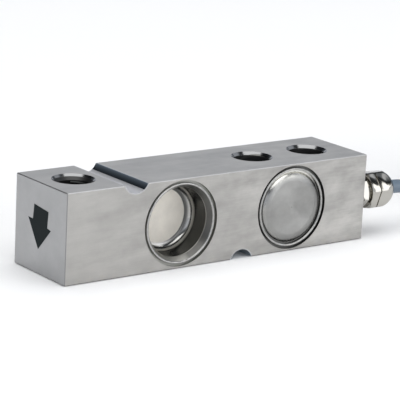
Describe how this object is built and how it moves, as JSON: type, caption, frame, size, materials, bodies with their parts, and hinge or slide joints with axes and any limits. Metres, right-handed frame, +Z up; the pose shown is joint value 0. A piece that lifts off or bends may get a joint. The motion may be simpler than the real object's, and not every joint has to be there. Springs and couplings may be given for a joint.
{
  "type": "low profile load cell",
  "caption": "Square steel shear beam load cell with welded gauge pockets, a domed cable gland and a tied hank of cable; bolts down at one end and takes load at the other.",
  "frame": {"origin": "middle of the two fixing holes, on the bottom face of the bar", "axes": "+X from the load end to the gland end, -Y out of the front face with the welded cover, +Z up"},
  "size_m": [0.2928, 0.0488, 0.0387],
  "materials": {
    "bar_steel": "milled and brushed stainless steel, faintly mottled",
    "cup_steel": "drawn and polished stainless steel",
    "cover_steel": "face turned stainless steel",
    "weld_metal": "bright fused bead",
    "gauge_film": "amber film with foil grids",
    "solder_copper": "bare copper pads",
    "ribbon_film": "amber flat lead",
    "pad_foam": "soft mounting pad",
    "board_laminate": "green solder mask",
    "resistor_black": "chip body",
    "header_steel": "turned ring",
    "header_glass": "fused glass bead",
    "pin_gold": "plated pins",
    "core_sleeve": "core insulation inside the gland",
    "seal_rubber": "black rubber",
    "clamp_plastic": "slotted nylon ring",
    "nickel_plate": "nickel plated brass",
    "cable_jacket": "blue grey jacket with a soft sheen",
    "tie_plastic": "black nylon strap",
    "core_red": "red insulation",
    "core_green": "green insulation",
    "core_black": "black insulation",
    "core_white": "white insulation",
    "tinned_copper": "tinned copper wire"
  },
  "bodies": {
    "root": {"beam_body": "bar_steel", "front_gauge_cup": "cup_steel", "rear_gauge_cup": "cup_steel", "wiring_pocket_cover": "cover_steel", "front_cup_weld": "weld_metal", "rear_cup_weld": "weld_metal", "cover_weld": "weld_metal", "front_strain_gauge": "gauge_film", "rear_strain_gauge": "gauge_film", "front_output_strip": "solder_copper", "front_link_strip": "solder_copper", "rear_link_strip": "solder_copper", "bridge_jumper": "ribbon_film", "gauge_ribbon": "ribbon_film", "header_ribbon": "ribbon_film", "board_pad": "pad_foam", "trim_board": "board_laminate", "trim_resistors": "resistor_black", "header_shell": "header_steel", "header_glass": "header_glass", "header_pins": "pin_gold", "entry_cores": "core_sleeve", "gland_o_ring": "seal_rubber", "gland_seal": "seal_rubber", "gland_clamp_ring": "clamp_plastic", "gland_body": "nickel_plate", "gland_nut": "nickel_plate", "cable_entry": "cable_jacket", "cable_lead": "cable_jacket", "cable_hank": "cable_jacket", "front_hank_tie": "tie_plastic", "rear_hank_tie": "tie_plastic", "core_red": "core_red", "core_green": "core_green", "core_black": "core_black", "core_white": "core_white", "screen_drain": "tinned_copper", "bare_tips": "tinned_copper"}
  },
  "joints": []
}
